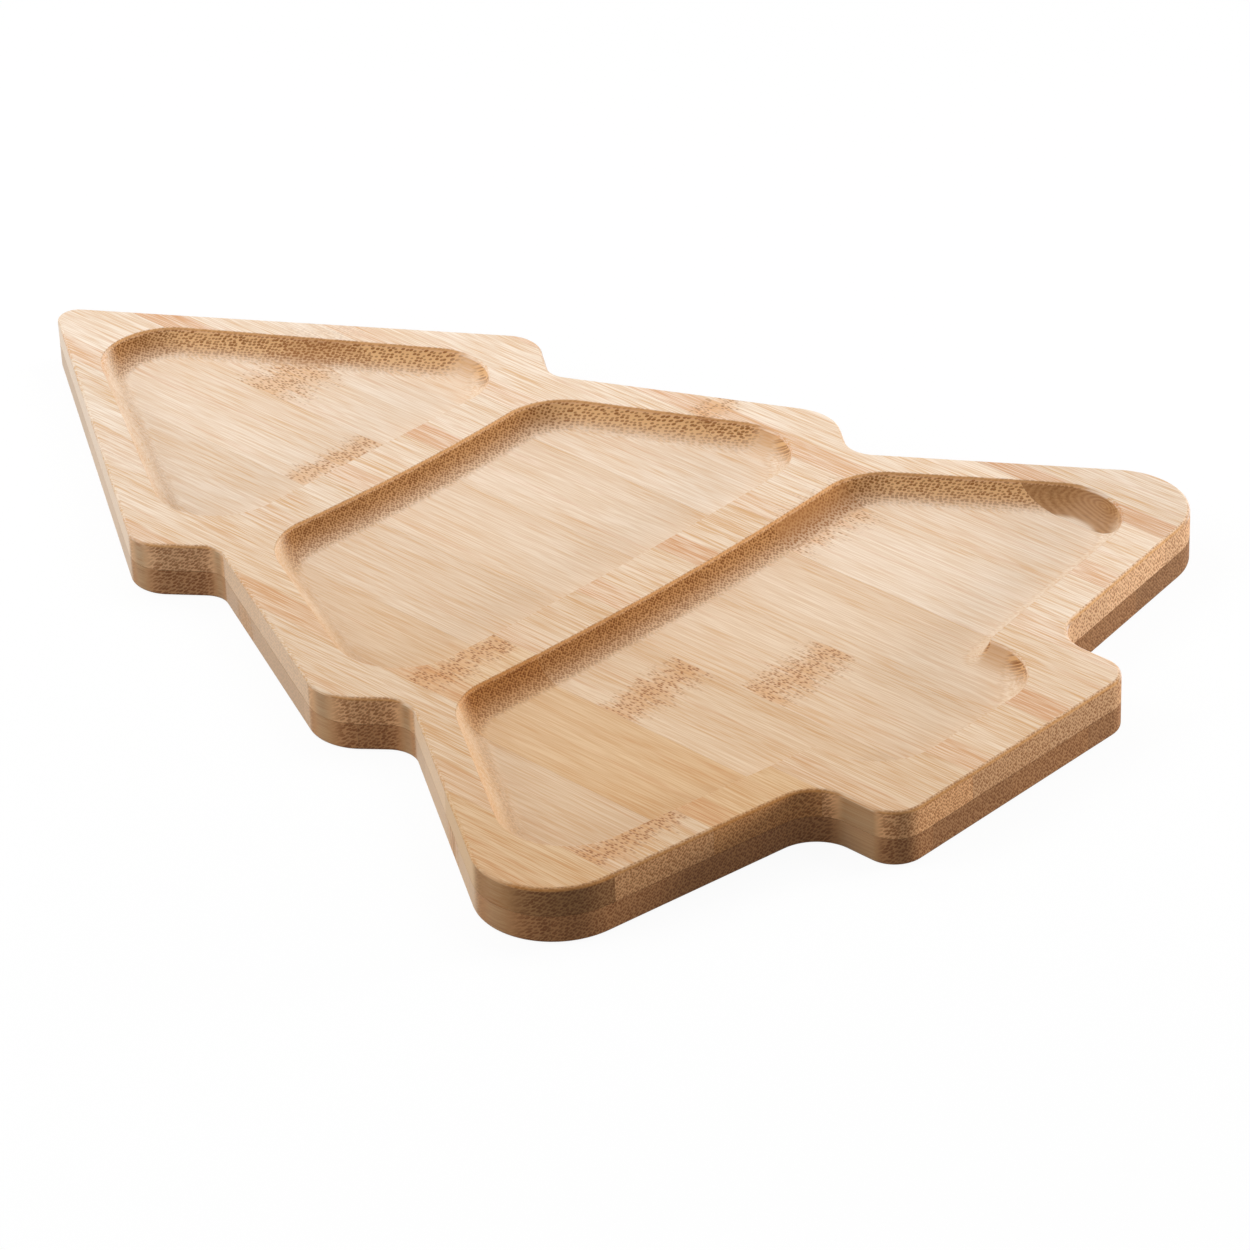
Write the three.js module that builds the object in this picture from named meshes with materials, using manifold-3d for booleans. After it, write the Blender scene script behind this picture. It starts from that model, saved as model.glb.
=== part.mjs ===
// A snack plate in the outline of a fir tree. Bamboo strips are glued edge to edge into two
// plies, the plies are glued face to face with their joints staggered, and the board is sawn
// to the outline, rounded along its edges and routed with one shallow tray for each tier.
// Millimetres, +Z up. The plate lies on its lower face and the tip of the tree points to +Y.

import * as THREE from 'three';
import { mergeVertices } from 'three/addons/utils/BufferGeometryUtils.js';
import Module from 'manifold-3d';

// The laminated board
const upperPly = 5.95;
const lowerPly = 5.95;
const glueLine = 0.1; // film of glue between neighbouring strips and between the plies
const stripWidth = 22.8; // from joint to joint
const upperJoint = 9.3; // from the centreline to the middle joint of the upper ply
const jointStagger = 11.4; // from that joint back to the middle joint of the lower ply
const arris = 0.8; // round along the upper and lower edges of the outline

// The outline, given by its sharp corners. A reach is half a width, from the centreline
const topTierHeight = 92.4; // from the tip down to the ends of the boughs
const topTierReach = 59;
const topNotchDrop = 14.3; // from the ends of the boughs down to the notch below them
const topNotchDepth = 10.8; // from the ends of the boughs in to the notch
const middleTierHeight = 57.9;
const middleTierReach = 75;
const middleNotchDrop = 14;
const middleNotchDepth = 11.1;
const bottomTierHeight = 67.9;
const bottomTierReach = 108.1;
const bottomEdgeRise = 11.1; // the lowest edge climbs from the trunk to the ends of the boughs
const trunkHeight = 20.3;
const trunkReach = 34.9;

// Rounds at the corners of the outline
const tipRound = 4.2;
const topTierRound = 9.1;
const topNotchRound = 5.7;
const middleTierRound = 11.9;
const middleNotchRound = 7;
const bottomTierRound = 16;
const trunkTopRound = 8.8;
const trunkFootRound = 6.6;

// The trays
const trayDepth = 5;
const coveRadius = 6.4; // turns the wall of a tray into its floor
const rimRound = 0.35; // round along the upper edge of a tray
const trayCorner = 14.5; // round of a tray's corners, as wide as the cutter
const trunkCrest = 0.4; // round of the crest where the bottom tray runs on into the trunk
const topRimAtTip = 4.5; // the rim beside the top tray widens from the tip to the boughs
const topRimAtBough = 8.6;
const middleRim = 9.1;
const bottomRim = 7;
const bottomEdgeRim = 9.65;
const trunkRim = 9;
const trunkFootRim = 11.3;

// The bridges between the trays, from the height of a notch to the edges of the trays
const topBridgeAbove = 4.9;
const topBridgeBelow = 5.1;
const middleBridgeAbove = 5;
const middleBridgeBelow = 5.9;

// How far the edges of the bridges sag towards the trunk at the centreline
const middleTrayHeadSag = 1.15;
const middleTrayFootSag = 1;
const bottomTrayHeadSag = 1.85;

// The finish: sanded bamboo, a little paler or darker from strip to strip
const paleBamboo = 0xe2c49c;
const honeyBamboo = 0xc9a27a;
const toneStep = 0.012;
const toneCycle = [0, 2, -1, 1, -2]; // tones of neighbouring strips, in steps
const roughness = 0.55;

// Facets
const arcStep = 9; // degrees
const coveSteps = 7;
const rimSteps = 2;
const arrisSteps = 3;
const sagSteps = 8;

const wasm = await Module();
wasm.setup();

const thickness = lowerPly + glueLine + upperPly;

// A corner of a closed outline, with the round that it gets
function corner(x, y, round) {
  return { point: new THREE.Vector2(x, y), round };
}

// Corners of the right half, from the top down, become a whole outline, counterclockwise
function mirrored(half) {
  const offCentre = half.filter(({ point }) => point.x > 0);
  const onCentre = half.filter(({ point }) => point.x === 0);
  const left = offCentre.map(({ point, round }) => corner(-point.x, point.y, round));
  return [...onCentre, ...left, ...offCentre.reverse()];
}

// The line through two points, moved to its left by one distance at a and another at b
function movedLine(a, b, atA, atB = atA) {
  const along = b.clone().sub(a).normalize();
  const left = new THREE.Vector2(-along.y, along.x);
  return [a.clone().addScaledVector(left, atA), b.clone().addScaledVector(left, atB)];
}

function crossing([a, b], [c, d]) {
  const r = b.clone().sub(a);
  const s = d.clone().sub(c);
  const share = c.clone().sub(a).cross(s) / r.cross(s);
  return a.clone().addScaledVector(r, share);
}

function levelLine(y) {
  return [new THREE.Vector2(0, y), new THREE.Vector2(1, y)];
}

function uprightLine(x) {
  return [new THREE.Vector2(x, 0), new THREE.Vector2(x, 1)];
}

// Direction in and out of each corner, its turn, and a round that its two edges can hold
function rounds(corners) {
  const next = (i) => corners[(i + 1) % corners.length].point;
  const edges = corners.map(({ point }, i) => next(i).clone().sub(point));
  const before = (i) => (i + corners.length - 1) % corners.length;
  const turns = edges.map((edge, i) => {
    const into = edges[before(i)];
    return Math.atan2(into.cross(edge), into.dot(edge));
  });
  const tangents = corners.map(({ round }, i) => round * Math.tan(Math.abs(turns[i]) / 2));
  const room = edges.map((edge, i) => {
    const wanted = tangents[i] + tangents[(i + 1) % corners.length];
    return Math.min(1, edge.length() / wanted);
  });
  return corners.map(({ point, round }, i) => {
    const radius = round * Math.min(room[i], room[before(i)]);
    const side = Math.sign(turns[i]);
    const into = edges[before(i)].clone().normalize();
    const start = point.clone().addScaledVector(into, -radius * Math.tan(Math.abs(turns[i]) / 2));
    const centre = start.clone().add(new THREE.Vector2(-into.y, into.x).multiplyScalar(side * radius));
    const from = Math.atan2(-side * into.x, side * into.y);
    return { centre, radius, side, from, turn: turns[i] };
  });
}

// Points along an outline, moved inwards by an inset. The level edges that cross the
// centreline sag at the head and at the foot
function ring(corners, inset, headSag = 0, footSag = 0) {
  const arcs = rounds(corners).map(({ centre, radius, side, from, turn }) => {
    const steps = Math.ceil(Math.abs(THREE.MathUtils.radToDeg(turn)) / arcStep);
    const reach = radius - side * inset;
    return Array.from({ length: steps + 1 }, (_, k) => {
      const angle = from + (turn * k) / steps;
      return new THREE.Vector2(Math.cos(angle), Math.sin(angle)).multiplyScalar(reach).add(centre);
    });
  });
  return arcs.flatMap((arc, i) => {
    const start = arc[arc.length - 1];
    const end = arcs[(i + 1) % arcs.length][0];
    const sag = end.x > start.x ? footSag : headSag;
    if (sag === 0 || start.x * end.x >= 0) return arc;
    const sagging = Array.from({ length: sagSteps - 1 }, (_, k) => {
      const share = (k + 1) / sagSteps;
      const point = start.clone().lerp(end, share);
      point.y -= sag * 4 * share * (1 - share);
      return point;
    });
    return [...arc, ...sagging];
  });
}

// A closed geometry, with its shared vertices merged, as a solid
function solidOf(geometry) {
  geometry.deleteAttribute('normal');
  geometry.deleteAttribute('uv');
  const merged = mergeVertices(geometry);
  const vertProperties = new Float32Array(merged.attributes.position.array);
  const triVerts = new Uint32Array(merged.index.array);
  return new wasm.Manifold(new wasm.Mesh({ numProp: 3, vertProperties, triVerts }));
}

// Rings of equal count, from the lowest up, joined by walls and closed by two flat faces
function loft(levels) {
  const count = levels[0].points.length;
  const positions = levels.flatMap(({ points, z }) => points.flatMap(({ x, y }) => [x, y, z]));
  const indices = [];
  for (let level = 0; level < levels.length - 1; level += 1) {
    for (let i = 0; i < count; i += 1) {
      const a = level * count + i;
      const b = level * count + ((i + 1) % count);
      indices.push(a, b, b + count, a, b + count, a + count);
    }
  }
  const last = (levels.length - 1) * count;
  for (const [a, b, c] of THREE.ShapeUtils.triangulateShape(levels[0].points, [])) {
    indices.push(a, c, b);
  }
  for (const [a, b, c] of THREE.ShapeUtils.triangulateShape(levels[levels.length - 1].points, [])) {
    indices.push(last + a, last + b, last + c);
  }
  const geometry = new THREE.BufferGeometry();
  geometry.setAttribute('position', new THREE.Float32BufferAttribute(positions, 3));
  geometry.setIndex(indices);
  return solidOf(geometry);
}

// Heights above the foot of the trunk
const bottomTierY = trunkHeight + bottomEdgeRise;
const middleNotchY = bottomTierY + bottomTierHeight;
const middleTierY = middleNotchY + middleNotchDrop;
const topNotchY = middleTierY + middleTierHeight;
const topTierY = topNotchY + topNotchDrop;
const tipY = topTierY + topTierHeight;

const tip = corner(0, tipY, tipRound);
const topBough = corner(topTierReach, topTierY, topTierRound);
const topNotch = corner(topTierReach - topNotchDepth, topNotchY, topNotchRound);
const middleBough = corner(middleTierReach, middleTierY, middleTierRound);
const middleNotch = corner(middleTierReach - middleNotchDepth, middleNotchY, middleNotchRound);
const bottomBough = corner(bottomTierReach, bottomTierY, bottomTierRound);
const trunkTop = corner(trunkReach, trunkHeight, trunkTopRound);
const trunkFoot = corner(trunkReach, 0, trunkFootRound);

const outline = mirrored([
  tip, topBough, topNotch, middleBough, middleNotch, bottomBough, trunkTop, trunkFoot,
]);

// The board, with a quarter round along its upper and lower edges
function boardSolid() {
  const quarter = Array.from({ length: arrisSteps + 1 }, (_, k) => {
    const angle = (k / arrisSteps) * (Math.PI / 2);
    return { inset: arris * (1 - Math.sin(angle)), rise: arris * (1 - Math.cos(angle)) };
  });
  const below = quarter.map(({ inset, rise }) => ({ points: ring(outline, inset), z: rise }));
  const above = quarter.map(({ inset, rise }) => ({ points: ring(outline, inset), z: thickness - rise }));
  return loft([...below, ...above.reverse()]);
}

// What the cutter takes out of the board for one tray: a flat floor, a cove that curves up
// into the round of the rim, and an open top
function traySolid(half, headSag, footSag) {
  const corners = mirrored(half);
  const curve = coveRadius + rimRound;
  const wallAngle = Math.acos(1 - Math.min(trayDepth, curve) / curve);
  const profile = [];
  for (let k = 0; k <= coveSteps; k += 1) {
    const angle = (k / coveSteps) * wallAngle;
    const inset = curve * Math.sin(wallAngle) - coveRadius * Math.sin(angle);
    profile.push({ inset, z: thickness - trayDepth + coveRadius * (1 - Math.cos(angle)) });
  }
  for (let k = rimSteps - 1; k >= 0; k -= 1) {
    const angle = (k / rimSteps) * wallAngle;
    profile.push({ inset: rimRound * Math.sin(angle), z: thickness - rimRound * (1 - Math.cos(angle)) });
  }
  profile.push({ inset: 0, z: thickness + trayDepth });
  return loft(profile.map(({ inset, z }) => ({ points: ring(corners, inset, headSag, footSag), z })));
}

// Edges of the trays: each runs beside an edge of the outline, or level across a bridge
const topSide = movedLine(topBough.point, tip.point, topRimAtBough, topRimAtTip);
const middleSide = movedLine(middleBough.point, topNotch.point, middleRim);
const bottomSide = movedLine(bottomBough.point, middleNotch.point, bottomRim);
const bottomEdge = movedLine(trunkTop.point, bottomBough.point, bottomEdgeRim);
const trunkSide = uprightLine(trunkReach - trunkRim);
const centreline = uprightLine(0);

function trayCornerAt(lineA, lineB, round = trayCorner) {
  const { x, y } = crossing(lineA, lineB);
  return corner(x, y, round);
}

const topTray = [
  corner(0, crossing(topSide, centreline).y, trayCorner),
  trayCornerAt(topSide, levelLine(topNotchY + topBridgeAbove)),
];
const middleTray = [
  trayCornerAt(middleSide, levelLine(topNotchY - topBridgeBelow)),
  trayCornerAt(middleSide, levelLine(middleNotchY + middleBridgeAbove)),
];
const bottomTray = [
  trayCornerAt(bottomSide, levelLine(middleNotchY - middleBridgeBelow)),
  trayCornerAt(bottomSide, bottomEdge),
  trayCornerAt(trunkSide, bottomEdge, trunkCrest),
  trayCornerAt(trunkSide, levelLine(trunkFootRim)),
];

const board = boardSolid()
  .subtract(traySolid(topTray, 0, 0))
  .subtract(traySolid(middleTray, middleTrayHeadSag, middleTrayFootSag))
  .subtract(traySolid(bottomTray, bottomTrayHeadSag, 0));

// The outline's true extent, once its corners are round
const extent = new THREE.Box2().setFromPoints(ring(outline, 0));
const length = extent.max.y - extent.min.y;
const halfWidth = extent.max.x;

// One strip is what lies between two joints of its ply, in a slab longer than the board
function stripSolid(left, right, bottom, top) {
  const slab = new THREE.BoxGeometry(right - left, 2 * length, top - bottom);
  slab.translate((left + right) / 2, extent.min.y + length / 2, (bottom + top) / 2);
  return board.intersect(solidOf(slab));
}

function bamboo(color, strip) {
  const material = new THREE.MeshStandardMaterial({ color, roughness, metalness: 0 });
  material.color.offsetHSL(0, 0, toneStep * toneCycle[strip % toneCycle.length]);
  return material;
}

function stripMesh(name, solid, material) {
  const { numProp, vertProperties, triVerts } = solid.getMesh();
  const positions = [];
  for (let i = 0; i < vertProperties.length; i += numProp) {
    positions.push(vertProperties[i], vertProperties[i + 1], vertProperties[i + 2]);
  }
  const geometry = new THREE.BufferGeometry();
  geometry.setAttribute('position', new THREE.Float32BufferAttribute(positions, 3));
  geometry.setIndex(Array.from(triVerts));
  geometry.computeVertexNormals();
  const mesh = new THREE.Mesh(geometry, material);
  mesh.name = name;
  return mesh;
}

// The strips of one ply, counted outwards to both sides from its middle joint. Where a notch
// parts the end of a bough from the rest of its strip, that end is a piece of its own, with the
// number of its strip, and only glue holds it
function plyMeshes(ply, middleJoint, bottom, top, color) {
  const first = Math.floor((-halfWidth - middleJoint) / stripWidth);
  const last = Math.ceil((halfWidth - middleJoint) / stripWidth);
  const meshes = [];
  for (let k = first; k < last; k += 1) {
    const left = middleJoint + k * stripWidth + glueLine / 2;
    const right = middleJoint + (k + 1) * stripWidth - glueLine / 2;
    const pieces = stripSolid(left, right, bottom, top).decompose();
    pieces.sort((a, b) => b.volume() - a.volume());
    const side = k < 0 ? 'left' : 'right';
    const number = k < 0 ? -k : k + 1;
    pieces.forEach((piece, i) => {
      const kind = i === 0 ? 'strip' : 'bough_end';
      const another = i > 1 ? `_${i}` : '';
      const name = `${ply}_${side}_${kind}_${number}${another}`;
      meshes.push(stripMesh(name, piece, bamboo(color, number)));
    });
  }
  return meshes;
}

const lower = plyMeshes('lower', upperJoint - jointStagger, 0, lowerPly, honeyBamboo);
const upper = plyMeshes('upper', upperJoint, lowerPly + glueLine, thickness, paleBamboo);

const plate = new THREE.Group();
plate.add(...lower, ...upper);
plate.position.y = -(extent.min.y + extent.max.y) / 2;

export default plate;
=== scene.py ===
import math
from types import SimpleNamespace

import bmesh
import bpy
from mathutils import Matrix, Vector


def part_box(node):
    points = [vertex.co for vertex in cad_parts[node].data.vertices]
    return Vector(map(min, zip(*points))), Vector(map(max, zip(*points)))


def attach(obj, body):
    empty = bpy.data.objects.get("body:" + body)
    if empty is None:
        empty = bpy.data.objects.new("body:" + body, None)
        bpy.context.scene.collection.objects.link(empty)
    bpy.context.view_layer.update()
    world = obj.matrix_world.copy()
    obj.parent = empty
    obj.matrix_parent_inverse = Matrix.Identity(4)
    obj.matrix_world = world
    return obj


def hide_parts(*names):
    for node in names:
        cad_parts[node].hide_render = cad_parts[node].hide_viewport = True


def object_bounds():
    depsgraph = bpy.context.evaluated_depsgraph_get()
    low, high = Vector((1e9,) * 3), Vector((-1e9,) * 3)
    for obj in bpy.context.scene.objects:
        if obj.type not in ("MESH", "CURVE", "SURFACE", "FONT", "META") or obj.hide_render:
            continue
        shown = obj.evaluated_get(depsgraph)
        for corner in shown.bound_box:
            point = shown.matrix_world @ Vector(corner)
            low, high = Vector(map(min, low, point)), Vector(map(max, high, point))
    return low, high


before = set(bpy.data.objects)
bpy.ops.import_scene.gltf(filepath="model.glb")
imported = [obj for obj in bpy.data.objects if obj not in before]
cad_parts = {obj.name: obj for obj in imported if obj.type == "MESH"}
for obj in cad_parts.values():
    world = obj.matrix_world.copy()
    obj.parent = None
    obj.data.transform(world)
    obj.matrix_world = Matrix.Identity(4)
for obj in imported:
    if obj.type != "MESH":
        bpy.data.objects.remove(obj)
cadLow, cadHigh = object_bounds()
mm = 0.001


# The outline of the plate

outlineSet = {  # mm
    "corners": {  # reach from the centreline, height above the trunk's foot and round
        "tip": (0.0, 277.9, 4.2),
        "topBough": (59.0, 185.5, 9.1),
        "topNotch": (48.2, 171.2, 5.7),
        "middleBough": (75.0, 113.3, 11.9),
        "middleNotch": (63.9, 99.3, 7.0),
        "bottomBough": (108.1, 31.4, 16.0),
        "trunkTop": (34.9, 20.3, 8.8),
        "trunkFoot": (34.9, 0.0, 6.6),
    },
    "arris": 0.8,  # round along the upper and lower edges
    "sanded": 0.02,  # what sanding took off all round
    "arcStep": 3.0,  # degrees
    "arrisSteps": 6,
}

footY = cadLow.y


def cornerAt(x, y, roundness):
    return Vector((x, y)), roundness


def outlineCorner(name):
    reach, height, roundness = outlineSet["corners"][name]
    return cornerAt(reach * mm, footY + height * mm, roundness * mm)


def mirrored(half):  # the right half from the top down becomes a whole outline, counterclockwise
    onCentre = [c for c in half if c[0].x == 0]
    offCentre = [c for c in half if c[0].x > 0]
    left = [cornerAt(-point.x, point.y, roundness) for point, roundness in offCentre]
    return onCentre + left + offCentre[::-1]


def cornerArcs(corners):  # centre, radius, side, first angle and turn of the round at each corner
    points = [point for point, roundness in corners]
    edges = [b - a for a, b in zip(points, points[1:] + points[:1])]
    arcs = []
    for i, (point, radius) in enumerate(corners):
        into = edges[i - 1].normalized()
        turn = math.atan2(into.x * edges[i].y - into.y * edges[i].x, into.dot(edges[i]))
        side = math.copysign(1.0, turn)
        start = point - into * radius * math.tan(abs(turn) / 2)
        centre = start + Vector((-into.y, into.x)) * side * radius
        arcs.append((centre, radius, side, math.atan2(-side * into.x, side * into.y), turn))
    return arcs


# Sags bend the edges that cross the centreline
def outlineRing(corners, inset, headSag=0.0, footSag=0.0):
    arcs = []
    for centre, radius, side, first, turn in cornerArcs(corners):
        steps = math.ceil(abs(math.degrees(turn)) / outlineSet["arcStep"])
        angles = [first + turn * k / steps for k in range(steps + 1)]
        reach = radius - side * inset
        arcs.append([centre + reach * Vector((math.cos(a), math.sin(a))) for a in angles])
    ring = []
    for i, arc in enumerate(arcs):
        ring += arc
        start, end = arc[-1], arcs[(i + 1) % len(arcs)][0]
        sag = footSag if end.x > start.x else headSag
        if sag and start.x * end.x < 0:
            for k in range(1, traySet["sagSteps"]):
                share = k / traySet["sagSteps"]
                ring.append(start.lerp(end, share) - Vector((0, sag * 4 * share * (1 - share))))
    return ring


# The trays

traySet = {  # mm
    "depth": 5.0,
    "cove": 6.4,  # turns the wall into the floor
    "rim": 0.35,  # round along the upper edge
    "corner": 14.5,
    "crest": 0.4,  # where the bottom tray runs on into the trunk
    "topRims": (8.6, 4.5),  # beside the top tray, at the bough and at the tip
    "middleRim": 9.1,
    "bottomRim": 7.0,
    "bottomEdgeRim": 9.65,
    "trunkRim": 9.0,
    "trunkFootRim": 11.3,
    "topBridge": (4.9, 5.1),  # from the notch up to the top tray and down to the middle one
    "middleBridge": (5.0, 5.9),
    "middleSags": (1.15, 1.0),  # at the head and at the foot of the middle tray
    "bottomHeadSag": 1.85,
    "sagSteps": 24,
    "coveSteps": 16,
    "rimSteps": 4,
}


def movedLine(a, b, atA, atB):  # the line from a to b, moved to its left
    along = (b - a).normalized()
    left = Vector((-along.y, along.x))
    return a + left * atA * mm, b + left * atB * mm


def levelLine(y):
    return Vector((0, y)), Vector((1, y))


def uprightLine(x):
    return Vector((x, 0)), Vector((x, 1))


def crossing(lineA, lineB):
    r, s, gap = lineA[1] - lineA[0], lineB[1] - lineB[0], lineB[0] - lineA[0]
    return lineA[0] + r * (gap.x * s.y - gap.y * s.x) / (r.x * s.y - r.y * s.x)


def trayCorner(lineA, lineB, roundness=traySet["corner"]):
    point = crossing(lineA, lineB)
    return cornerAt(point.x, point.y, roundness * mm)


def trayOutlines():  # corners, head sag and foot sag of each tray
    at = {name: outlineCorner(name)[0] for name in outlineSet["corners"]}
    t = traySet
    topSide = movedLine(at["topBough"], at["tip"], *t["topRims"])
    middleSide = movedLine(at["middleBough"], at["topNotch"], t["middleRim"], t["middleRim"])
    bottomSide = movedLine(at["bottomBough"], at["middleNotch"], t["bottomRim"], t["bottomRim"])
    edgeRim = t["bottomEdgeRim"]
    bottomEdge = movedLine(at["trunkTop"], at["bottomBough"], edgeRim, edgeRim)
    trunkSide = uprightLine(at["trunkTop"].x - t["trunkRim"] * mm)
    topY, middleY = at["topNotch"].y, at["middleNotch"].y
    topTray = [
        cornerAt(0, crossing(topSide, uprightLine(0)).y, t["corner"] * mm),
        trayCorner(topSide, levelLine(topY + t["topBridge"][0] * mm)),
    ]
    middleTray = [
        trayCorner(middleSide, levelLine(topY - t["topBridge"][1] * mm)),
        trayCorner(middleSide, levelLine(middleY + t["middleBridge"][0] * mm)),
    ]
    bottomTray = [
        trayCorner(bottomSide, levelLine(middleY - t["middleBridge"][1] * mm)),
        trayCorner(bottomSide, bottomEdge),
        trayCorner(trunkSide, bottomEdge, t["crest"]),
        trayCorner(trunkSide, levelLine(footY + t["trunkFootRim"] * mm)),
    ]
    return [
        (mirrored(topTray), 0.0, 0.0),
        (mirrored(middleTray), t["middleSags"][0] * mm, t["middleSags"][1] * mm),
        (mirrored(bottomTray), t["bottomHeadSag"] * mm, 0.0),
    ]


def trayProfile():  # inset and drop below the rim, from the upper edge down to the floor
    cove, rim = traySet["cove"] * mm, traySet["rim"] * mm
    curve = cove + rim
    wall = math.acos(1 - traySet["depth"] * mm / curve)
    profile = []
    for k in range(traySet["rimSteps"]):
        angle = wall * k / traySet["rimSteps"]
        profile.append((rim * math.sin(angle), rim * (1 - math.cos(angle))))
    for k in range(traySet["coveSteps"] + 1):
        angle = wall * (1 - k / traySet["coveSteps"])
        inset = curve * math.sin(wall) - cove * math.sin(angle)
        profile.append((inset, traySet["depth"] * mm - cove * (1 - math.cos(angle))))
    return profile


# The two plies, each as one closed board that is then sawn into its strips


def addRing(mesh, points, z):
    return [mesh.verts.new((p.x, p.y, z)) for p in points]


def addWall(mesh, rings):  # quads from ring to ring
    for a, b in zip(rings, rings[1:]):
        for i in range(len(a)):
            mesh.faces.new((a[i - 1], a[i], b[i], b[i - 1]))


def addFlat(mesh, rings):  # a flat face with the first ring round it and holes in the others
    edges = [mesh.edges.get((ring[i - 1], ring[i])) for ring in rings for i in range(len(ring))]
    bmesh.ops.triangle_fill(mesh, use_beauty=True, use_dissolve=False, edges=edges)


def arrisProfile():  # inset and drop, from the flat face to the wall
    arris, steps = outlineSet["arris"] * mm, outlineSet["arrisSteps"]
    angles = [math.pi / 2 * k / steps for k in range(steps + 1)]
    return [(arris * (1 - math.sin(a)), arris * (1 - math.cos(a))) for a in angles]


def boardOf(ply):
    corners = mirrored([outlineCorner(name) for name in outlineSet["corners"]])
    sanded = outlineSet["sanded"] * mm
    low, high = (corner.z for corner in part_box(f"{ply}_right_strip_1"))
    face, glue, down = (high, low, 1) if ply == "upper" else (low, high, -1)
    mesh = bmesh.new()
    sides = []
    for inset, drop in arrisProfile():
        sides.append(addRing(mesh, outlineRing(corners, inset + sanded), face - down * drop))
    sides.append(addRing(mesh, outlineRing(corners, sanded), glue))
    addWall(mesh, sides)
    addFlat(mesh, sides[-1:])
    mouths = []
    for tray, headSag, footSag in trayOutlines() if ply == "upper" else []:
        walls = []
        for inset, drop in trayProfile():
            walls.append(addRing(mesh, outlineRing(tray, inset, headSag, footSag), face - drop))
        addWall(mesh, walls)
        addFlat(mesh, walls[-1:])
        mouths.append(walls[0])
    addFlat(mesh, sides[:1] + mouths)
    bmesh.ops.recalc_face_normals(mesh, faces=mesh.faces)
    return mesh


# The strips

stripSet = {
    "jointGap": 0.02,  # mm, all that shows of the glue between two strips
    "sharpAngle": 35.0,  # degrees
    "sawTolerance": 1e-8,  # m
}


def islandsOf(mesh):
    left = set(mesh.verts)
    islands = []
    while left:
        island, fresh = set(), [left.pop()]
        while fresh:
            vert = fresh.pop()
            island.add(vert)
            near = [edge.other_vert(vert) for edge in vert.link_edges]
            fresh += [v for v in near if v in left]
            left.difference_update(near)
        islands.append(island)
    return islands


def middleOf(verts):
    ways = [[v.co[k] for v in verts] for k in range(3)]
    return Vector([(min(way) + max(way)) / 2 for way in ways])


def sawnStrip(board, node):  # what the board has between the joints of that node's strip
    stripLow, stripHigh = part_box(node.replace("bough_end", "strip"))
    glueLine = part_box("upper_right_strip_1")[0].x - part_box("upper_left_strip_1")[1].x
    grow = (glueLine - stripSet["jointGap"] * mm) / 2
    mesh = board.copy()
    for x, side in ((stripLow.x - grow, -1), (stripHigh.x + grow, 1)):
        geometry = mesh.verts[:] + mesh.edges[:] + mesh.faces[:]
        cut = bmesh.ops.bisect_plane(
            mesh, geom=geometry, dist=stripSet["sawTolerance"],
            plane_co=(x, 0, 0), plane_no=(side, 0, 0), clear_outer=True)
        for edge in cut["geom_cut"]:
            if isinstance(edge, bmesh.types.BMEdge):
                edge.smooth = False
        bmesh.ops.holes_fill(mesh, edges=[e for e in mesh.edges if e.is_boundary], sides=0)
    low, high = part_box(node)
    islands = islandsOf(mesh)
    islands.sort(key=lambda island: (middleOf(island) - (low + high) / 2).length)
    for island in islands[1:]:
        bmesh.ops.delete(mesh, geom=list(island), context="VERTS")
    bmesh.ops.recalc_face_normals(mesh, faces=mesh.faces)
    for edge in mesh.edges:
        if edge.calc_face_angle(0.0) > math.radians(stripSet["sharpAngle"]):
            edge.smooth = False
    return mesh


def addPiece(mesh, node, material):
    data = bpy.data.meshes.new(f"{node}_bamboo")
    mesh.to_mesh(data)
    data.polygons.foreach_set("use_smooth", [True] * len(data.polygons))
    data.materials.append(material)
    piece = bpy.data.objects.new(f"{node}_bamboo", data)
    bpy.context.scene.collection.objects.link(piece)
    normals = piece.modifiers.new("flatFaces", "WEIGHTED_NORMAL")
    normals.keep_sharp = True
    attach(piece, "root")
    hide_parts(node)


# Shader maths


class Wire:  # a socket; an expression on wires adds its Math nodes
    def __init__(self, graph, socket):
        self.graph = graph
        self.socket = socket

    def math(self, operation, *values):
        return self.graph.node("ShaderNodeMath", {"operation": operation}, dict(enumerate(values)))

    def __add__(self, other):
        return self.math("ADD", self, other)

    def __sub__(self, other):
        return self.math("SUBTRACT", self, other)

    def __rsub__(self, other):
        return self.math("SUBTRACT", other, self)

    def __mul__(self, other):
        return self.math("MULTIPLY", self, other)

    def __truediv__(self, other):
        return self.math("DIVIDE", self, other)

    __radd__ = __add__
    __rmul__ = __mul__

    def size(self):
        return self.math("ABSOLUTE", self)

    def power(self, exponent):
        return self.math("POWER", self, exponent)

    def least(self, other):
        return self.math("MINIMUM", self, other)

    def most(self, other):
        return self.math("MAXIMUM", self, other)

    def wave(self):
        return self.math("SINE", self)

    def within(self):  # held between 0 and 1
        return self.most(0.0).least(1.0)

    def ramp(self, start, end):  # 0 at start, 1 at end, eased
        settings = {"interpolation_type": "SMOOTHSTEP"}
        return self.graph.node("ShaderNodeMapRange", settings, {0: self, 1: start, 2: end})

    def part(self, k):  # one channel of a colour or vector
        return self.graph.node("ShaderNodeSeparateXYZ", {}, {0: self}, k)


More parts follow.
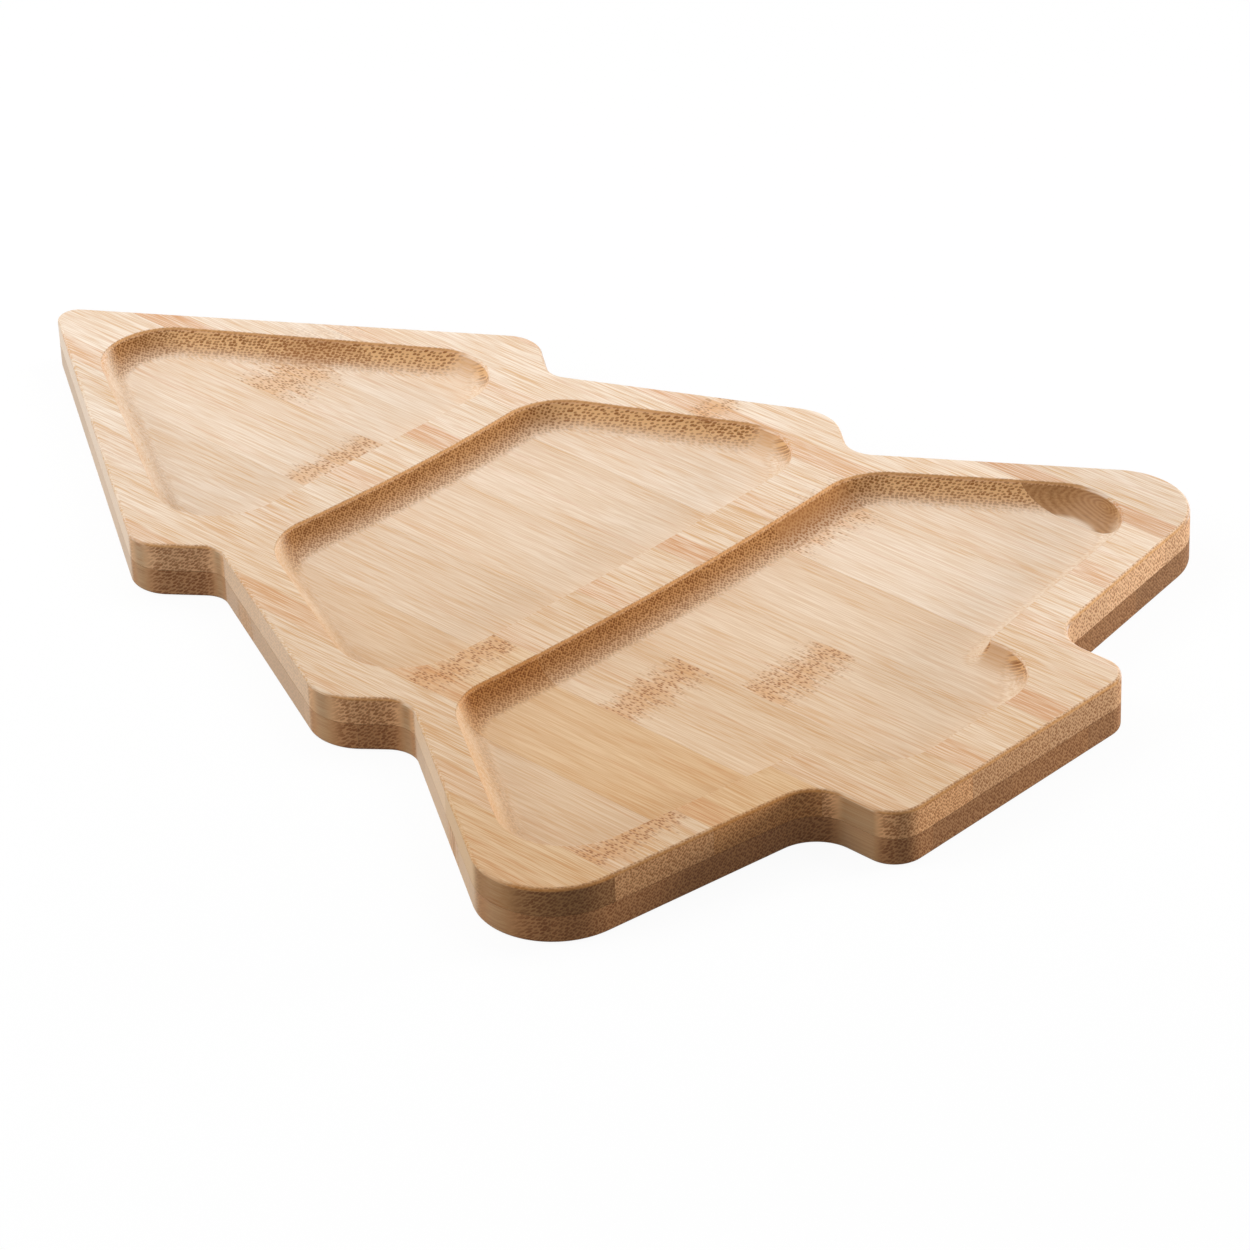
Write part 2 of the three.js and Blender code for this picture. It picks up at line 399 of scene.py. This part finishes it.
class Graph:  # the nodes of a material or of the world
    def __init__(self, owner):
        owner.use_nodes = True
        self.owner = owner
        self.tree = owner.node_tree
        self.tree.nodes.clear()

    def node(self, kind, settings, sockets, output=0):
        made = self.tree.nodes.new(kind)
        for name, value in settings.items():
            setattr(made, name, value)
        for key, value in sockets.items():
            if isinstance(value, Wire):
                self.tree.links.new(value.socket, made.inputs[key])
            else:
                made.inputs[key].default_value = value
        return Wire(self, made.outputs[output])

    def vector(self, x, y, z):
        return self.node("ShaderNodeCombineXYZ", {}, {0: x, 1: y, 2: z})

    def mix(self, share, a, b, how="MIX"):
        settings = {"data_type": "RGBA", "blend_type": how}
        return self.node("ShaderNodeMix", settings, {0: share, 6: a, 7: b}, 2)

    def noise(self, at, detail=2.0, roughness=0.5, output=0):
        sockets = {"Vector": at, "Scale": 1.0, "Detail": detail, "Roughness": roughness}
        return self.node("ShaderNodeTexNoise", {"noise_dimensions": "3D"}, sockets, output)

    def cells(self, x, y, randomness, output):
        sockets = {"Vector": self.vector(x, y, 0.0), "Scale": 1.0, "Randomness": randomness}
        return self.node("ShaderNodeTexVoronoi", {"voronoi_dimensions": "2D"}, sockets, output)

    def background(self):  # 1 where the ray shows what is behind the plate, straight or mirrored
        rays = ("Is Camera Ray", "Is Glossy Ray", "Is Transmission Ray")
        camera, glossy, through = (self.node("ShaderNodeLightPath", {}, {}, ray) for ray in rays)
        return (camera + glossy + through).within()

    def surface(self, shader, output="ShaderNodeOutputMaterial"):
        made = self.tree.nodes.new(output)
        self.tree.links.new(shader.socket, made.inputs["Surface"])


def grey(level):
    return level, level, level, 1


# The bamboo

bambooSet = {
    "upper": {
        "pale": (0.885, 0.755, 0.63, 1),
        "cream": (0.775, 0.61, 0.462, 1),
        "fibre": (0.68, 0.42, 0.215, 1),  # fine streaks along the grain
        "blush": (0.64, 0.33, 0.16, 1),  # the pinkish side of a strip
        # painted sheen: the pale colour of outer edges that face the tip
        "sanded": (1.0, 0.87, 0.735, 1),
        "edge": (0.60, 0.49, 0.35, 1),  # multiplies the outer edge
        "tissue": (0.69, 0.44, 0.262, 1),  # between the bundles where they are cut across
    },
    "lower": {
        "pale": (0.70, 0.48, 0.28, 1),
        "cream": (0.62, 0.39, 0.21, 1),
        "fibre": (0.45, 0.23, 0.10, 1),
        "blush": (0.56, 0.32, 0.16, 1),
        # painted sheen: the pale colour of outer edges that face the tip
        "sanded": (0.82, 0.67, 0.53, 1),
        "edge": (0.71, 0.66, 0.60, 1),
        "tissue": (0.475, 0.258, 0.128, 1),
    },
    "honeyAndShade": (0.86, 0.69, 0.475, 1),  # multiplies the strips that are warmer and darker towards the trunk: partly their own tone, partly painted shade of the light falling off towards the foot
    "honeyAndShadeRange": (125.0, -105.0),  # mm from the origin, along the grain
    "roughness": 0.46,
    "endRoughness": 0.25,  # added where the fibres are cut across
    "sandedRoughness": -0.1,
    "fineRoughness": 0.1,
    "specular": 0.3,
    "bump": 0.25,
    "bumpDepth": 0.05,  # mm
    "fineHeight": 0.3,
    "dotHeight": -0.5,
}

stripLooks = {
    # tone and end are the brightness of the strip and of its ends at the outer edge,
    # honey (partly painted shade towards the foot) and blush are shares of those colours, and pitch
    # is that of the bundles in mm.
    # A mark has its place along the grain, its reach to each side and its share on the rim.
    # swirl is the middle of the rings on a tray wall, along the grain and up.
    "upper_left_strip_5": {
        "tone": 0.92, "end": 0.66, "honeyAndShade": 0.95, "blush": 0.3, "pitch": 0.56, "marks": []},
    "upper_left_strip_4": {
        "tone": 0.93, "end": 1.22, "honeyAndShade": 0.7, "blush": 0.3, "pitch": 0.56,
        "marks": [(-103, 5, 1)]},
    "upper_left_strip_3": {
        "tone": 0.96, "end": 1.12, "honeyAndShade": 1.0, "blush": 0.5, "pitch": 0.55, "marks": [(-36, 5, 1)]},
    "upper_left_strip_2": {
        "tone": 0.96, "end": 1.30, "honeyAndShade": 0.65, "blush": 0.2, "pitch": 0.55,
        "marks": [(-66, 6, 1)]},
    "upper_left_strip_1": {
        "tone": 1.00, "end": 0.98, "honeyAndShade": 0.5, "blush": 0.5, "pitch": 0.58,
        "marks": [(49, 4.5, 0), (-83, 6.5, 1)]},
    "upper_right_strip_1": {
        "tone": 1.01, "end": 0.92, "honeyAndShade": 0.4, "blush": 0.9, "pitch": 0.64,
        "marks": [(84, 10, 0.1)]},
    "upper_right_strip_2": {
        "tone": 1.04, "end": 0.92, "honeyAndShade": 0.15, "blush": 0.3, "pitch": 0.76,
        "marks": [(86, 10, 0.1), (-48, 7, 0.3)]},
    "upper_right_strip_3": {
        "tone": 1.05, "end": 1.0, "honeyAndShade": 0.1, "blush": 0.6, "pitch": 0.66, "marks": [(-3, 4, 1)]},
    "upper_right_strip_4": {
        "tone": 0.96, "end": 1.0, "honeyAndShade": 0.1, "blush": 0.9, "pitch": 0.62, "marks": [],
        "swirl": (-90.0, 9.8)},
    "lower_left_strip_5": {
        "tone": 0.95, "end": 1.05, "honeyAndShade": 0.5, "blush": 0.3, "pitch": 0.58, "marks": []},
    "lower_left_strip_4": {
        "tone": 1.00, "end": 1.10, "honeyAndShade": 0.5, "blush": 0.4, "pitch": 0.58, "marks": [(-70, 5, 1)]},
    "lower_left_strip_3": {
        "tone": 0.94, "end": 1.12, "honeyAndShade": 0.5, "blush": 0.2, "pitch": 0.58, "marks": [(20, 5, 1)]},
    "lower_left_strip_2": {
        "tone": 1.02, "end": 1.00, "honeyAndShade": 0.4, "blush": 0.5, "pitch": 0.58, "marks": [(-95, 5, 1)]},
    "lower_left_strip_1": {
        "tone": 0.97, "end": 0.88, "honeyAndShade": 0.4, "blush": 0.3, "pitch": 0.58, "marks": [(64, 5, 1)]},
    "lower_right_strip_1": {
        "tone": 1.00, "end": 0.92, "honeyAndShade": 0.4, "blush": 0.4, "pitch": 0.58, "marks": [(-20, 5, 1)]},
    "lower_right_strip_2": {
        "tone": 0.95, "end": 0.86, "honeyAndShade": 0.3, "blush": 0.3, "pitch": 0.58,
        "marks": [(-110, 5, 1)]},
    "lower_right_strip_3": {
        "tone": 1.03, "end": 0.72, "honeyAndShade": 0.3, "blush": 0.5, "pitch": 0.58, "marks": [(31, 5, 1)]},
    "lower_right_strip_4": {
        "tone": 0.97, "end": 0.66, "honeyAndShade": 0.2, "blush": 0.2, "pitch": 0.58, "marks": [(-62, 5, 1)]},
    "lower_right_strip_5": {
        "tone": 1.00, "end": 0.62, "honeyAndShade": 0.2, "blush": 0.4, "pitch": 0.58, "marks": []},
}


# What shows on a face depends on where it looks

faceSet = {  # a pair is where a mask starts and where it is full, mostly on a part of the normal
    "steep": (0.0, 0.5),
    "outerEdge": (0.25, 0.0),
    "offUnderside": (-1.0, -0.6),
    "towardsTip": (0.02, 0.25),
    "offLeft": (-0.9, -0.4),
    "edgeTowardsTip": (0.2, 0.5),
    "towardsRight": (0.15, 0.55),
    "rightShare": 0.95,  # painted sheen on a tray wall that faces right: it turns plain and paler
    # painted sheen: how far outer edges that face the tip turn pale
    "sheenShare": 0.85,
    "endsThroughSheen": 0.15,  # share of the fibres' ends that still shows through the painted sheen on an outer edge
    "squarely": (0.02, 0.36),
    "trayWall": (0.08, 0.95),
    "facesUp": (-0.05, 0.05),
    "sheenOverTrayShade": 0.95,  # how much of the painted tray shade the painted sheen takes off a wall
    "rimRange": (11.0, 11.4),  # mm up
}


def facesOf(graph):  # the place in mm, the normal's parts and the masks
    s = faceSet
    face = SimpleNamespace()
    place = graph.node("ShaderNodeTexCoord", {}, {}, "Object")
    facing = graph.node("ShaderNodeTexCoord", {}, {}, "Normal")
    face.x, face.y, face.z = (place.part(k) * (1 / mm) for k in range(3))
    face.right, face.tipwards, up = (facing.part(k) for k in range(3))
    face.steep = (1 - up).ramp(*s["steep"])
    face.slope = (1 - up * up).most(0.0).power(0.5)
    face.side = up.ramp(*s["outerEdge"]) * up.ramp(*s["offUnderside"])
    offSide = 1 - face.side
    rim = face.z.ramp(*s["rimRange"])
    towardsTip = face.tipwards.ramp(*s["towardsTip"])
    smooth = offSide * towardsTip * face.right.ramp(*s["offLeft"])  # painted sheen: faces that look to the tip are shown plain, without the fibres' ends
    smooth = smooth.most(face.side * face.tipwards.ramp(*s["edgeTowardsTip"]))
    # painted sheen on tray walls that face right as well
    smooth = smooth.most(s["rightShare"] * offSide * face.right.ramp(*s["towardsRight"]))
    smooth = smooth.most(rim * towardsTip)
    # painted sheen: outer edges that face the tip take the pale colour
    face.sanded = s["sheenShare"] * face.side * smooth
    face.squarely = face.tipwards.size().ramp(*s["squarely"])
    face.across = face.squarely * (1 - smooth * (1 - s["endsThroughSheen"] * face.side))
    face.outer = face.side.most(rim)
    routed = (1 - face.outer) * face.slope.ramp(*s["trayWall"]) * up.ramp(*s["facesUp"])
    face.routed = routed * (1 - s["sheenOverTrayShade"] * smooth)  # painted shade in the trays, darker on steeper walls
    return face


# The fibres wander a little on their way along the strip

grainSet = {  # sizes across, along and into the strip, mm
    "wander": {"size": (9.0, 120.0, 9.0), "detail": 2.0, "roughness": 0.5},
    "wanderBy": 1.1,  # mm
    "climb": 0.02,  # rise of the fibres along the strip
    "fine": {"size": (0.26, 26.0, 0.26), "detail": 2.0, "roughness": 0.55},
    "fineRange": (0.35, 0.65),
    "coarse": {"size": (0.75, 40.0, 0.75), "detail": 2.0, "roughness": 0.5},
    "coarseRange": (0.3, 0.7),
    "broad": {"size": (1.6, 60.0, 1.6), "detail": 3.0, "roughness": 0.6},
    "band": {"size": (7.0, 130.0, 6.0), "detail": 1.0, "roughness": 0.5},
    "seedStep": 37.0,  # sets the strips apart
}


def grainNoise(graph, look, x, y, z, seed, output=0):
    across, along, into = look["size"]
    at = graph.vector(x / across, y / along + seed, z / into)
    return graph.noise(at, look["detail"], look["roughness"], output)


def grainOf(graph, face, number):
    s = grainSet
    x, y, z = face.x, face.y, face.z
    seed = s["seedStep"] * number
    wander = grainNoise(graph, s["wander"], x, y, z, seed, 1)
    grain = SimpleNamespace(seed=seed)
    grain.x = x + s["wanderBy"] * wander.part(0)
    grain.z = z + s["wanderBy"] * wander.part(1) + s["climb"] * y + seed
    grain.fine = grainNoise(graph, s["fine"], grain.x, y, grain.z, seed).ramp(*s["fineRange"])
    grain.coarse = grainNoise(graph, s["coarse"], grain.x, y, grain.z, seed).ramp(*s["coarseRange"])
    grain.broad = grainNoise(graph, s["broad"], grain.x, y, grain.z, seed)
    grain.band = grainNoise(graph, s["band"], x, y, z, seed)
    return grain


# Bundles of fibres are dots where they are cut across

bundleSet = {
    "slant": 0.55,  # rise of the rows along the grain
    "randomness": 0.6,
    "radius": 0.69,  # of a bundle, as a share of the pitch
    "radiusLoss": 0.42,  # for each mm of pitch
    "uneven": 0.12,  # how far the radius varies
    "fade": (0.02, 0.16),
}


def bundlesOf(graph, face, grain, pitch):  # the bundles and a chance for each
    s = bundleSet
    diagonal = math.sqrt(2) * pitch
    radius = s["radius"] - s["radiusLoss"] * pitch
    rowZ = grain.z + s["slant"] * face.y
    at = (grain.x + rowZ) / diagonal, (grain.x - rowZ) / diagonal
    chance = graph.cells(*at, s["randomness"], "Color").part(0)
    apart = graph.cells(*at, s["randomness"], "Distance") - s["uneven"] * chance
    return apart.ramp(radius - s["fade"][0], radius - s["fade"][1]), chance


# Where the fibres are cut along

alongSet = {
    "topRange": (8.5, 11.5),  # mm up
    "streaks": {  # contrast in the trays, and what the top has more
        "fine": (0.55, 0.2),
        "coarse": (0.1, 0.1),
        "broad": (0.3, 0.15),
        "band": (0.6, 0.0),
    },
    "creamRange": (-0.05, 0.5),
    "paleRange": (0.45, 1.0),
    "blushSide": (0.30, 0.27),  # share of the strip's width
    "blushPatches": (0.54, 0.68),
    "blushPatchShare": 0.32,
    "blushBetweenFibres": 0.7,
    # painted shade on tray walls where the fibres run along
    "routed": (0.54, 0.30, 0.13, 1),
    "routedShare": 0.65,
    "edgeShare": 0.9,
}


def cutAlong(graph, face, grain, strip):
    s, look, colours = alongSet, stripLooks[strip], bambooSet[strip.split("_")[0]]
    top = face.z.ramp(*s["topRange"])
    shade = 0.5
    for streak, (contrast, more) in s["streaks"].items():
        shade = shade + (contrast + more * top) * (getattr(grain, streak) - 0.5)
    colour = graph.mix(shade.ramp(*s["creamRange"]), colours["fibre"], colours["cream"])
    colour = graph.mix(shade.ramp(*s["paleRange"]), colour, colours["pale"])
    low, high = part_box(strip)
    width = (face.x - low.x / mm) / ((high.x - low.x) / mm)
    blush = width.ramp(*s["blushSide"]) * look["blush"] * top
    blush = blush + s["blushPatchShare"] * grain.broad.ramp(*s["blushPatches"])
    colour = graph.mix(blush * (1 - s["blushBetweenFibres"] * grain.fine), colour, colours["blush"])
    # painted shade on the tray walls
    colour = graph.mix(s["routedShare"] * face.routed, colour, s["routed"])
    colour = graph.mix(s["edgeShare"] * face.side, colour, colours["edge"], "MULTIPLY")
    # painted sheen on the outer edges that face the tip
    return graph.mix(face.sanded, colour, colours["sanded"])


# Where the fibres are cut across

acrossSet = {
    "routed": (0.47, 0.245, 0.095, 1),  # painted shade: the tissue in the trays, darker than elsewhere
    "routedLeft": (0.69, 0.425, 0.205, 1),  # a lighter copy on walls that face left: painted light from that side
    "leftRange": (-0.2, -0.7),
    "levelTissue": 0.35,  # share of the tissue's colour on level ground
    "faintDot": 0.65,  # strength of the faintest dots
    "levelDot": 0.75,  # and of dots on level ground
    "edgeDots": 0.85,  # and of dots on the outer edge
    "edgeDotRange": (0.1, 0.5),
    "bundle": (0.40, 0.27, 0.18, 1),  # multiplies what lies round it
}


def cutAcross(graph, face, bundle, chance, strip):  # the colour, and the dots for the bump
    s, look, colours = acrossSet, stripLooks[strip], bambooSet[strip.split("_")[0]]
    tissue = s["levelTissue"] + (1 - s["levelTissue"]) * face.steep
    colour = graph.mix(tissue, colours["cream"], colours["tissue"])
    # painted shade in the trays, lighter on walls that face left
    routed = graph.mix(face.right.ramp(*s["leftRange"]), s["routed"], s["routedLeft"])
    colour = graph.mix(face.routed, colour, routed)
    dots = bundle * (s["faintDot"] + (1 - s["faintDot"]) * chance)
    dots = dots * (s["levelDot"] + (1 - s["levelDot"]) * face.steep)
    onEdge = s["edgeDots"] * face.tipwards.size().ramp(*s["edgeDotRange"])
    dots = dots * (1 - face.side * (1 - onEdge))
    colour = graph.mix(dots, colour, s["bundle"], "MULTIPLY")
    return graph.mix(face.side, colour, grey(look["end"]), "MULTIPLY"), dots


# The rounds along the upper edges, with painted shade

rimSet = {
    "line": (0.60, 0.33, 0.135, 1),  # painted shade: a dark line along the top of tray walls that face the foot
    "lineShare": 0.8,
    "lineRange": (11.2, 11.6),  # mm up
    "lineTowardsFoot": (0.05, -0.3),
    "lineOffRight": (0.5, 0.1),
    "arris": (0.76, 0.80, 0.92, 1),  # painted shade: darkens the round of the upper edge at the right, where the right lamps light it
    "arrisRange": (11.1, 11.4),
    "arrisTowardsRight": (0.05, 0.35),
    "arrisOffTip": (0.1, 0.0),
    "arrisHalf": (-5.0, 5.0),  # mm from the centreline
}


def upperEdges(graph, face, colour):
    s = rimSet
    # painted shade along the top of tray walls that face the foot
    line = face.steep * face.z.ramp(*s["lineRange"])
    line = line * face.tipwards.ramp(*s["lineTowardsFoot"]) * face.right.ramp(*s["lineOffRight"])
    colour = graph.mix(s["lineShare"] * line, colour, s["line"])
    # painted shade on the round of the upper edge at the right
    arris = face.steep * face.z.ramp(*s["arrisRange"]) * face.right.ramp(*s["arrisTowardsRight"])
    arris = arris * face.tipwards.ramp(*s["arrisOffTip"]) * face.x.ramp(*s["arrisHalf"])
    return graph.mix(arris, colour, s["arris"], "MULTIPLY")


# Marks where the cane had its nodes

markSet = {
    "halo": (0.70, 0.39, 0.17, 1),
    "haloShare": 0.5,
    "wall": (0.58, 0.46, 0.36, 1),  # multiplies a tray wall
    "wallShare": 0.4,
    "dash": (0.35, 0.155, 0.058, 1),
    "dashShare": 0.95,
    "dotShare": 0.75,
    "dashSize": (0.54, 1.15),  # mm across and along
    "dashRandomness": 0.9,
    "dashRange": (0.5, 0.2),
    "dashChance": (0.05, 0.65),
    "dashSpread": 0.6,  # lets dashes reach past the halo
    "patch": {"size": (0.6, 5.0, 0.6), "detail": 2.0, "roughness": 0.5},
    "patchBy": 2.0,
    "driftSize": 6.0,  # mm
    "driftBy": 1.4,  # reaches
    "bodyRange": (-0.1, 0.9),
    "rimRange": (11.3, 11.7),  # mm up
}


def nodeMarks(graph, face, grain, bundle, marks, colour):
    s = markSet
    if not marks:
        return colour
    dashAt = grain.x / s["dashSize"][0], face.y / s["dashSize"][1]
    dash = graph.cells(*dashAt, s["dashRandomness"], "Distance").ramp(*s["dashRange"])
    dash = dash * graph.cells(*dashAt, s["dashRandomness"], "Color").part(0).ramp(*s["dashChance"])
    dashes = s["dashShare"] * dash * (1 - face.across)
    dashes = dashes.most(s["dotShare"] * bundle * face.across)
    patch = grainNoise(graph, s["patch"], grain.x, face.y, grain.z, grain.seed)
    drift = graph.noise(graph.vector(face.x / s["driftSize"], grain.seed, face.z / s["driftSize"]))
    onTop = face.z.ramp(*s["rimRange"])
    for height, reach, onRim in marks:
        apart = (face.y - height + s["driftBy"] * reach * (drift - 0.5)).size() / reach
        body = (1 - apart + s["patchBy"] * (patch - 0.5)).ramp(*s["bodyRange"])
        body = body * (1 - (1 - onRim) * onTop)
        wall = body * face.across * (1 - face.side)
        colour = graph.mix(s["haloShare"] * body * (1 - face.across), colour, s["halo"])
        colour = graph.mix(s["wallShare"] * wall, colour, s["wall"], "MULTIPLY")
        colour = graph.mix(body.power(s["dashSpread"]) * dashes, colour, s["dash"])
    return colour


# Rings where a tray wall cuts through a node

swirlSet = {
    "size": (11.0, 3.0),  # mm along the grain and up
    "turns": 46.0,  # radians out to the size
    "wobble": 6.0,  # radians
    "wallRange": (0.05, 0.3),
    "offTip": (0.75, 0.3),
    "groundShare": 0.8,
    "darkShare": 0.28,
    "ringShare": 0.4,
    "ringInFibres": 0.5,
}


def wallSwirl(graph, face, grain, middle, colour):
    s = swirlSet
    along, up = (face.y - middle[0]) / s["size"][0], (face.z - middle[1]) / s["size"][1]
    out = (along.power(2) + up.power(2)).power(0.5)
    rings = 0.5 + 0.5 * (s["turns"] * out + s["wobble"] * grain.broad).wave()
    rings = rings * (s["ringInFibres"] + (1 - s["ringInFibres"]) * grain.fine)
    wall = face.slope.ramp(*s["wallRange"]) * (1 - face.outer) * face.tipwards.ramp(*s["offTip"])
    # the knot's brown ground borrows the colour of the painted tray shade
    colour = graph.mix(s["groundShare"] * wall, colour, alongSet["routed"])
    dark = (s["darkShare"] + s["ringShare"] * rings) * wall
    return graph.mix(dark, colour, acrossSet["bundle"], "MULTIPLY")


def bambooMaterial(strip, number):
    s, look = bambooSet, stripLooks[strip]
    graph = Graph(bpy.data.materials.new(f"bamboo_{strip}"))
    face = facesOf(graph)
    grain = grainOf(graph, face, number)
    bundle, chance = bundlesOf(graph, face, grain, look["pitch"])
    across, dots = cutAcross(graph, face, bundle, chance, strip)
    colour = graph.mix(face.across, cutAlong(graph, face, grain, strip), across)
    colour = upperEdges(graph, face, colour)
    colour = nodeMarks(graph, face, grain, bundle, look["marks"], colour)
    if "swirl" in look:
        colour = wallSwirl(graph, face, grain, look["swirl"], colour)
    # warmer and darker towards the trunk: the strips' own honey tone and painted shade of the light
    # falling off
    honeyAndShade = graph.mix(face.y.ramp(*s["honeyAndShadeRange"]) * look["honeyAndShade"], grey(1), s["honeyAndShade"])
    colour = graph.mix(1.0, colour, honeyAndShade, "MULTIPLY")
    colour = graph.mix(1.0, colour, grey(look["tone"]), "MULTIPLY")
    height = s["fineHeight"] * grain.fine + s["dotHeight"] * dots * face.across
    roughness = s["roughness"] + s["endRoughness"] * face.squarely
    roughness = roughness + s["sandedRoughness"] * face.sanded
    bump = graph.node("ShaderNodeBump", {}, {
        "Strength": s["bump"], "Distance": s["bumpDepth"] * mm, "Height": height})
    shader = graph.node("ShaderNodeBsdfPrincipled", {}, {
        "Base Color": colour,
        "Roughness": roughness + s["fineRoughness"] * (grain.fine - 0.5),
        "Specular IOR Level": s["specular"],
        "Normal": bump,
    })
    graph.surface(shader)
    return graph.owner


boards = {ply: boardOf(ply) for ply in ("upper", "lower")}
print("plies:", {ply: len(board.faces) for ply, board in boards.items()}, "faces")
materials = {strip: bambooMaterial(strip, number) for number, strip in enumerate(stripLooks)}
for node in sorted(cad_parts):
    strip = sawnStrip(boards[node.split("_")[0]], node)
    addPiece(strip, node, materials[node.replace("bough_end", "strip")])
    print("strip:", node, len(strip.faces), "faces")


# Floor, light and camera

floorSet = {
    "size": 8.0,  # m
    "colour": (0.95, 0.95, 0.95, 1),
    "bounce": (0.28, 0.25, 0.21, 1),  # what it gives back to the plate
    "whiteShare": 0.94,
    "gap": 0.2,  # mm under the plate
}


def addFloor():
    mesh = bmesh.new()
    bmesh.ops.create_grid(mesh, x_segments=1, y_segments=1, size=floorSet["size"] / 2)
    data = bpy.data.meshes.new("floor")
    mesh.to_mesh(data)
    floor = bpy.data.objects.new("floor", data)
    floor.location.z = cadLow.z - floorSet["gap"] * mm
    bpy.context.scene.collection.objects.link(floor)
    graph = Graph(bpy.data.materials.new("floor_white"))
    shown = graph.background()
    colour = graph.mix(shown, floorSet["bounce"], floorSet["colour"])
    matt = graph.node("ShaderNodeBsdfDiffuse", {}, {"Color": colour})
    white = graph.node("ShaderNodeEmission", {}, {"Color": grey(1), "Strength": 1.0})
    share = shown * floorSet["whiteShare"]
    graph.surface(graph.node("ShaderNodeMixShader", {}, {0: share, 1: matt, 2: white}))
    data.materials.append(graph.owner)


lightSet = {
    "world": 0.29,
    "lamps": {  # m and W
        "left": {
            "place": (-0.814, 0.47, 0.342), "aim": (0, 0.05, 0), "size": 0.6, "power": 3.4},
        "leftHigh": {
            "place": (-0.436, 0.322, 0.613), "aim": (-0.03, 0.05, 0), "size": 0.55, "power": 2.1},
        "right": {
            "place": (0.443, -0.399, 0.073), "aim": (0.05, -0.05, 0), "size": 0.14, "power": 2.7},
        "rightHigh": {
            "place": (0.52, -0.242, 0.819), "aim": (0, 0, 0), "size": 0.7, "power": 3.3},
        "back": {
            "place": (0.08, 0.33, 0.42), "aim": (0.01, 0.1, 0), "size": 0.4, "power": 0.57},
    },
}


def aimed(place, aim, roll=0.0):
    back = (Vector(place) - Vector(aim)).normalized()
    right = Vector((0, 0, 1)).cross(back).normalized()
    turn = Matrix((right, back.cross(right), back)).transposed().to_4x4()
    return Matrix.Translation(place) @ turn @ Matrix.Rotation(roll, 4, "Z")


def addLamp(name, look):
    lamp = bpy.data.lights.new(name, "AREA")
    lamp.shape = "DISK"
    lamp.size = look["size"]
    lamp.energy = look["power"]
    made = bpy.data.objects.new(name, lamp)
    made.matrix_world = aimed(look["place"], look["aim"])
    made.visible_glossy = False  # no glare on the flat top
    bpy.context.scene.collection.objects.link(made)


def addWorld():
    graph = Graph(bpy.data.worlds.new("studio"))
    level = lightSet["world"] + (1 - lightSet["world"]) * graph.background()
    light = graph.node("ShaderNodeBackground", {}, {"Color": grey(1), "Strength": level})
    graph.surface(light, "ShaderNodeOutputWorld")
    bpy.context.scene.world = graph.owner


cameraSet = {
    "place": (-0.63281, -0.66262, 0.53362),
    "aim": (-0.009824, -0.043309, 0.006),
    "roll": -2.305,  # degrees
    "lens": 148.165,  # mm
    "sensor": 36.0,  # mm
}


def addCamera():
    lens = bpy.data.cameras.new("camera")
    lens.sensor_width = cameraSet["sensor"]
    lens.lens = cameraSet["lens"]
    camera = bpy.data.objects.new("camera", lens)
    roll = math.radians(cameraSet["roll"])
    camera.matrix_world = aimed(cameraSet["place"], cameraSet["aim"], roll)
    bpy.context.scene.collection.objects.link(camera)
    bpy.context.scene.camera = camera


addFloor()
addWorld()
for name, look in lightSet["lamps"].items():
    addLamp(name, look)
addCamera()
bpy.context.scene.view_settings.view_transform = "Standard"
print("stage: floor, world, lamps and camera are set")
